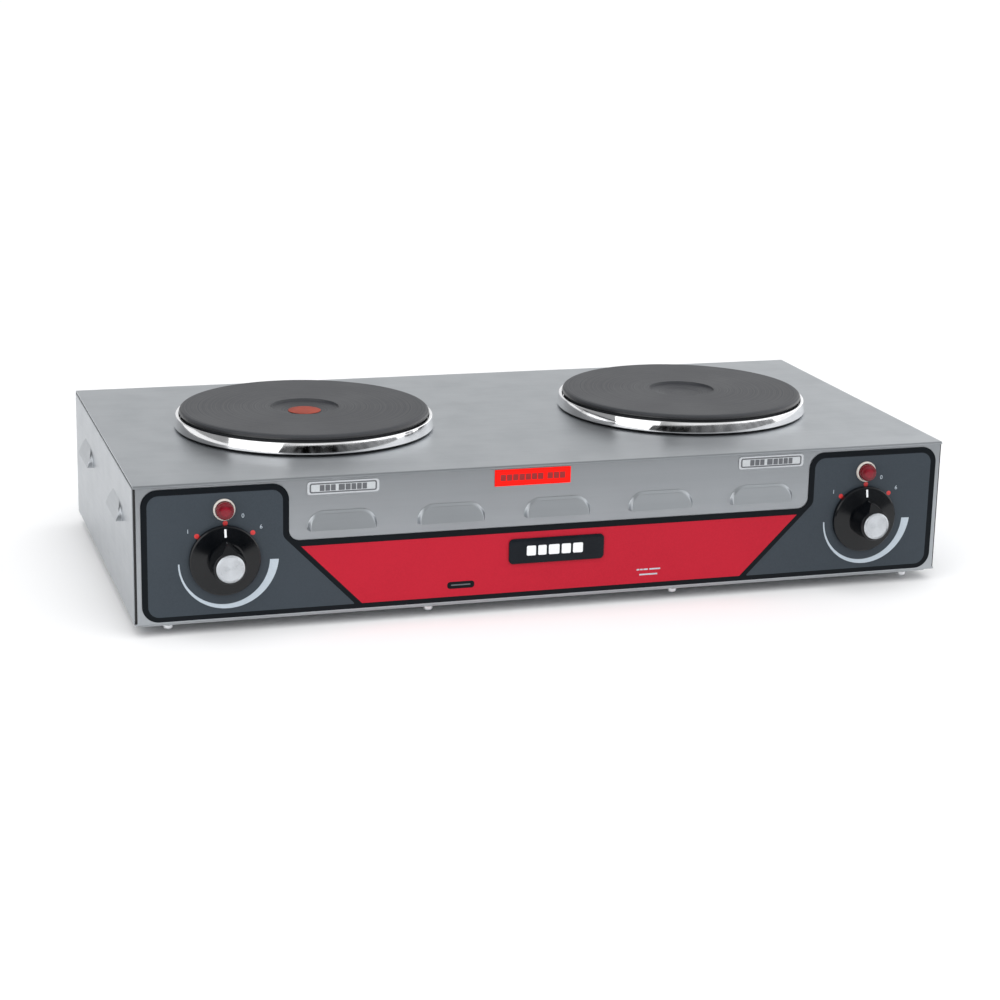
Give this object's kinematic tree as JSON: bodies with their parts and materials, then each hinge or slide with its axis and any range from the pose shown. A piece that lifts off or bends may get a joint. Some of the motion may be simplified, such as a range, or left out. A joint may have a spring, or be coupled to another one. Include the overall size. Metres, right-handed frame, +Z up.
{
  "type": "electric hot plate",
  "caption": "Low stainless electric hot plate with round solid cast plates side by side, a knob and pilot light at each end of its front, and vent louvres.",
  "frame": {"origin": "On the floor under the middle of the overall footprint, knobs and cord gland included", "axes": "+X along the width to the right as seen from the front, +Y to the back, +Z up; the control face looks towards -Y"},
  "size_m": [0.625, 0.343, 0.1247],
  "materials": {
    "stainless": "fine brushed, satin",
    "cast_iron": "seasoned, fine-turned",
    "chrome": "polished",
    "red_enamel": "matt heatproof paint",
    "overlay_film": "printed polyester film, satin",
    "pale_label": "satin foil",
    "orange_label": "printed foil, satin",
    "badge_black": "domed, gloss",
    "knob_black": "moulded phenolic, gloss",
    "aluminium": "spun, satin",
    "zinc_steel": "zinc plated",
    "switch_moulding": "moulded phenolic",
    "cam_nylon": "moulded nylon",
    "pilot_bezel": "moulded",
    "pilot_lens": "translucent red, gloss",
    "steatite": "unglazed",
    "foot_rubber": "moulded",
    "gland_plastic": "moulded nylon",
    "brass": "turned",
    "lead_silicone": "silicone insulation"
  },
  "bodies": {
    "cabinet": {"housing_wrap": "stainless", "left_side_panel": "stainless", "right_side_panel": "stainless", "bottom_pan": "stainless", "left_front_foot": "foot_rubber", "left_front_foot_screw": "zinc_steel", "left_rear_foot": "foot_rubber", "left_rear_foot_screw": "zinc_steel", "right_front_foot": "foot_rubber", "right_front_foot_screw": "zinc_steel", "right_rear_foot": "foot_rubber", "right_rear_foot_screw": "zinc_steel", "front_pan_screw_1": "zinc_steel", "front_pan_screw_2": "zinc_steel", "front_pan_screw_3": "zinc_steel", "front_pan_screw_4": "zinc_steel", "rear_pan_screw_1": "zinc_steel", "rear_pan_screw_2": "zinc_steel", "control_overlay": "overlay_film", "left_rating_label": "pale_label", "right_rating_label": "pale_label", "hot_surface_label": "orange_label", "blank_badge": "badge_black", "left_plate": "cast_iron", "left_spill_ring": "chrome", "left_plate_stud": "zinc_steel", "left_clamp_bar": "zinc_steel", "left_clamp_nut": "zinc_steel", "left_terminal_ceramic": "steatite", "left_switch_body": "switch_moulding", "left_switch_nut": "zinc_steel", "left_pilot_body": "pilot_bezel", "left_pilot_lens": "pilot_lens", "left_pilot_clip": "zinc_steel", "left_switch_lead": "lead_silicone", "right_plate": "cast_iron", "right_spill_ring": "chrome", "right_plate_stud": "zinc_steel", "right_clamp_bar": "zinc_steel", "right_clamp_nut": "zinc_steel", "right_terminal_ceramic": "steatite", "right_switch_body": "switch_moulding", "right_switch_nut": "zinc_steel", "right_pilot_body": "pilot_bezel", "right_pilot_lens": "pilot_lens", "right_pilot_clip": "zinc_steel", "right_switch_lead": "lead_silicone", "left_plate_marker": "red_enamel", "cord_gland": "gland_plastic", "gland_locknut": "zinc_steel", "supply_terminal_block": "gland_plastic", "ground_screw": "brass"},
    "left_control": {"left_knob": "knob_black", "left_knob_cap": "aluminium", "left_switch_shaft": "zinc_steel", "left_switch_cam": "cam_nylon"},
    "right_control": {"right_knob": "knob_black", "right_knob_cap": "aluminium", "right_switch_shaft": "zinc_steel", "right_switch_cam": "cam_nylon"}
  },
  "joints": [
    {"name": "left_knob_turn", "type": "hinge", "parent": "cabinet", "child": "left_control", "pos_m": [-0.2444, -0.147, 0.0541], "axis": [0, -1, 0], "continuous": true},
    {"name": "right_knob_turn", "type": "hinge", "parent": "cabinet", "child": "right_control", "pos_m": [0.2444, -0.147, 0.0541], "axis": [0, -1, 0], "continuous": true}
  ]
}
